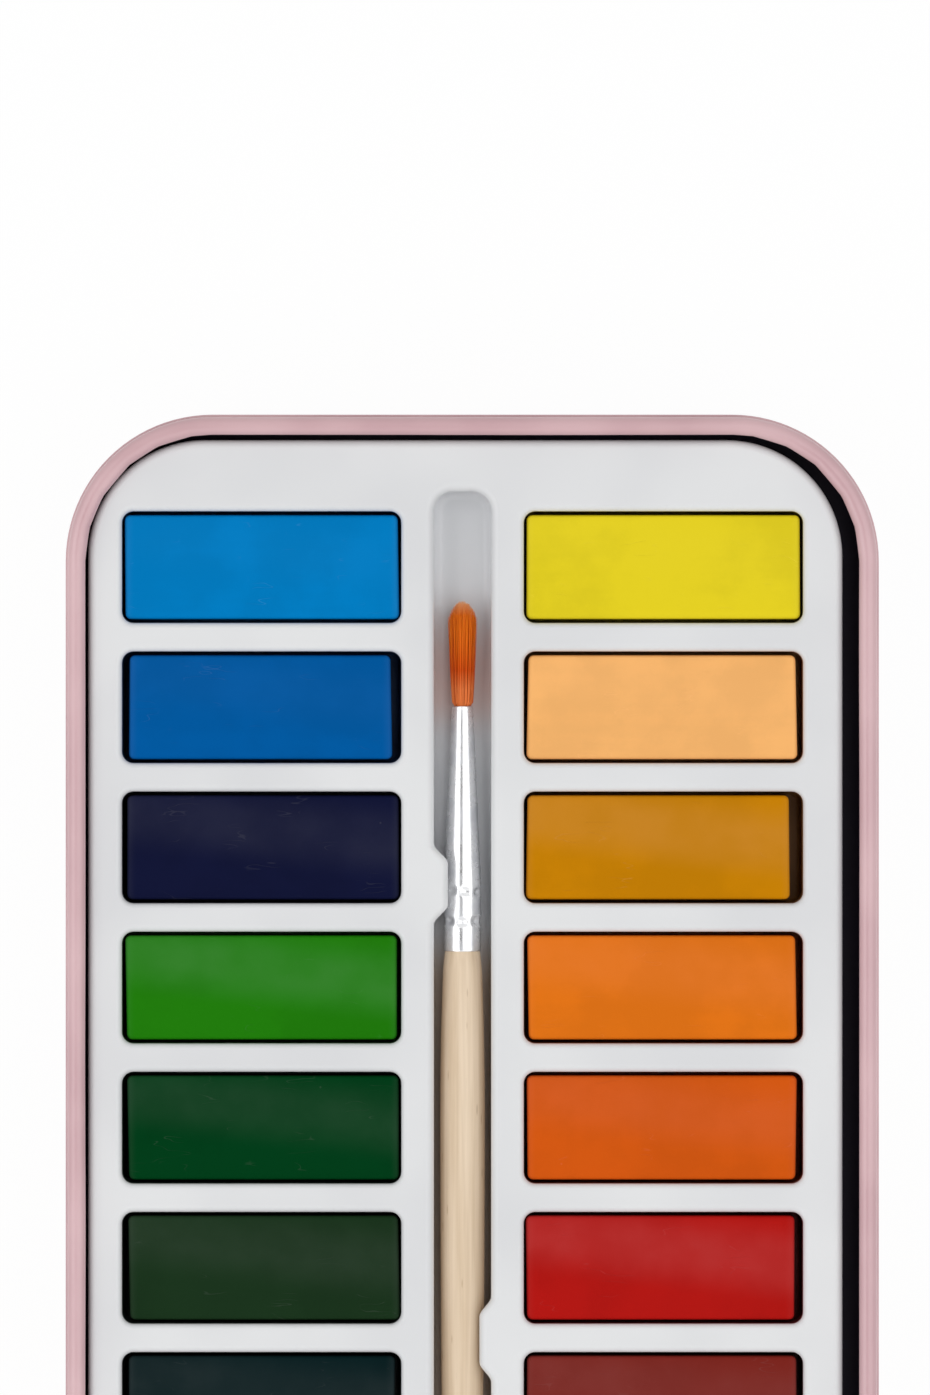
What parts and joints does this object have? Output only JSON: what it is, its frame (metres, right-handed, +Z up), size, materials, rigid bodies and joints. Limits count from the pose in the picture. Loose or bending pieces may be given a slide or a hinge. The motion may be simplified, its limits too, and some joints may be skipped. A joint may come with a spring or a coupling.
{
  "type": "watercolour paint set",
  "caption": "Rounded tin with a slip lid, holding a white formed tray of loose watercolour cakes in two columns and a round brush in the groove between them.",
  "frame": {"origin": "on the surface the set stands on, under the middle of the tin", "axes": "+Z up, +Y along the tin towards the brush's hair, +X to the right seen from above with the hair pointing up"},
  "size_m": [0.092, 0.162, 0.0203],
  "materials": {
    "pink_enamel": "gloss",
    "tray_white": "satin",
    "bare_wood": "matte",
    "ferrule_metal": "polished",
    "orange_hair": "satin",
    "paint_sky_blue": "satin",
    "paint_cobalt_blue": "satin",
    "paint_indigo": "satin",
    "paint_leaf_green": "satin",
    "paint_dark_green": "satin",
    "paint_olive_green": "satin",
    "paint_prussian_teal": "satin",
    "paint_payne_grey": "satin",
    "paint_ivory_black": "satin",
    "paint_lemon_yellow": "satin",
    "paint_peach": "satin",
    "paint_ochre": "satin",
    "paint_orange": "satin",
    "paint_vermilion": "satin",
    "paint_scarlet": "satin",
    "paint_carmine": "satin",
    "paint_burnt_sienna": "satin",
    "paint_umber": "satin"
  },
  "bodies": {
    "lid": {"lid_shell": "pink_enamel"},
    "base": {"base_shell": "pink_enamel"},
    "tray": {"tray": "tray_white"},
    "brush": {"brush_handle": "bare_wood", "brush_ferrule": "ferrule_metal", "brush_bristles": "orange_hair"},
    "paint_sky_blue": {"cake_sky_blue": "paint_sky_blue"},
    "paint_cobalt_blue": {"cake_cobalt_blue": "paint_cobalt_blue"},
    "paint_indigo": {"cake_indigo": "paint_indigo"},
    "paint_leaf_green": {"cake_leaf_green": "paint_leaf_green"},
    "paint_dark_green": {"cake_dark_green": "paint_dark_green"},
    "paint_olive_green": {"cake_olive_green": "paint_olive_green"},
    "paint_prussian_teal": {"cake_prussian_teal": "paint_prussian_teal"},
    "paint_payne_grey": {"cake_payne_grey": "paint_payne_grey"},
    "paint_ivory_black": {"cake_ivory_black": "paint_ivory_black"},
    "paint_lemon_yellow": {"cake_lemon_yellow": "paint_lemon_yellow"},
    "paint_peach": {"cake_peach": "paint_peach"},
    "paint_ochre": {"cake_ochre": "paint_ochre"},
    "paint_orange": {"cake_orange": "paint_orange"},
    "paint_vermilion": {"cake_vermilion": "paint_vermilion"},
    "paint_scarlet": {"cake_scarlet": "paint_scarlet"},
    "paint_carmine": {"cake_carmine": "paint_carmine"},
    "paint_burnt_sienna": {"cake_burnt_sienna": "paint_burnt_sienna"},
    "paint_umber": {"cake_umber": "paint_umber"}
  },
  "joints": [
    {"name": "base_lift", "type": "slide", "parent": "lid", "child": "base", "axis": [0, 0, 1], "range_m": [0, 0.025]},
    {"name": "tray_lift", "type": "slide", "parent": "base", "child": "tray", "axis": [0, 0, 1], "range_m": [0, 0.018]},
    {"name": "brush_lift", "type": "slide", "parent": "tray", "child": "brush", "axis": [0, 0, 1], "range_m": [0, 0.014]},
    {"name": "sky_blue_lift", "type": "slide", "parent": "tray", "child": "paint_sky_blue", "axis": [0, 0, 1], "range_m": [0, 0.012]},
    {"name": "cobalt_blue_lift", "type": "slide", "parent": "tray", "child": "paint_cobalt_blue", "axis": [0, 0, 1], "range_m": [0, 0.012]},
    {"name": "indigo_lift", "type": "slide", "parent": "tray", "child": "paint_indigo", "axis": [0, 0, 1], "range_m": [0, 0.012]},
    {"name": "leaf_green_lift", "type": "slide", "parent": "tray", "child": "paint_leaf_green", "axis": [0, 0, 1], "range_m": [0, 0.012]},
    {"name": "dark_green_lift", "type": "slide", "parent": "tray", "child": "paint_dark_green", "axis": [0, 0, 1], "range_m": [0, 0.012]},
    {"name": "olive_green_lift", "type": "slide", "parent": "tray", "child": "paint_olive_green", "axis": [0, 0, 1], "range_m": [0, 0.012]},
    {"name": "prussian_teal_lift", "type": "slide", "parent": "tray", "child": "paint_prussian_teal", "axis": [0, 0, 1], "range_m": [0, 0.012]},
    {"name": "payne_grey_lift", "type": "slide", "parent": "tray", "child": "paint_payne_grey", "axis": [0, 0, 1], "range_m": [0, 0.012]},
    {"name": "ivory_black_lift", "type": "slide", "parent": "tray", "child": "paint_ivory_black", "axis": [0, 0, 1], "range_m": [0, 0.012]},
    {"name": "lemon_yellow_lift", "type": "slide", "parent": "tray", "child": "paint_lemon_yellow", "axis": [0, 0, 1], "range_m": [0, 0.012]},
    {"name": "peach_lift", "type": "slide", "parent": "tray", "child": "paint_peach", "axis": [0, 0, 1], "range_m": [0, 0.012]},
    {"name": "ochre_lift", "type": "slide", "parent": "tray", "child": "paint_ochre", "axis": [0, 0, 1], "range_m": [0, 0.012]},
    {"name": "orange_lift", "type": "slide", "parent": "tray", "child": "paint_orange", "axis": [0, 0, 1], "range_m": [0, 0.012]},
    {"name": "vermilion_lift", "type": "slide", "parent": "tray", "child": "paint_vermilion", "axis": [0, 0, 1], "range_m": [0, 0.012]},
    {"name": "scarlet_lift", "type": "slide", "parent": "tray", "child": "paint_scarlet", "axis": [0, 0, 1], "range_m": [0, 0.012]},
    {"name": "carmine_lift", "type": "slide", "parent": "tray", "child": "paint_carmine", "axis": [0, 0, 1], "range_m": [0, 0.012]},
    {"name": "burnt_sienna_lift", "type": "slide", "parent": "tray", "child": "paint_burnt_sienna", "axis": [0, 0, 1], "range_m": [0, 0.012]},
    {"name": "umber_lift", "type": "slide", "parent": "tray", "child": "paint_umber", "axis": [0, 0, 1], "range_m": [0, 0.012]}
  ]
}
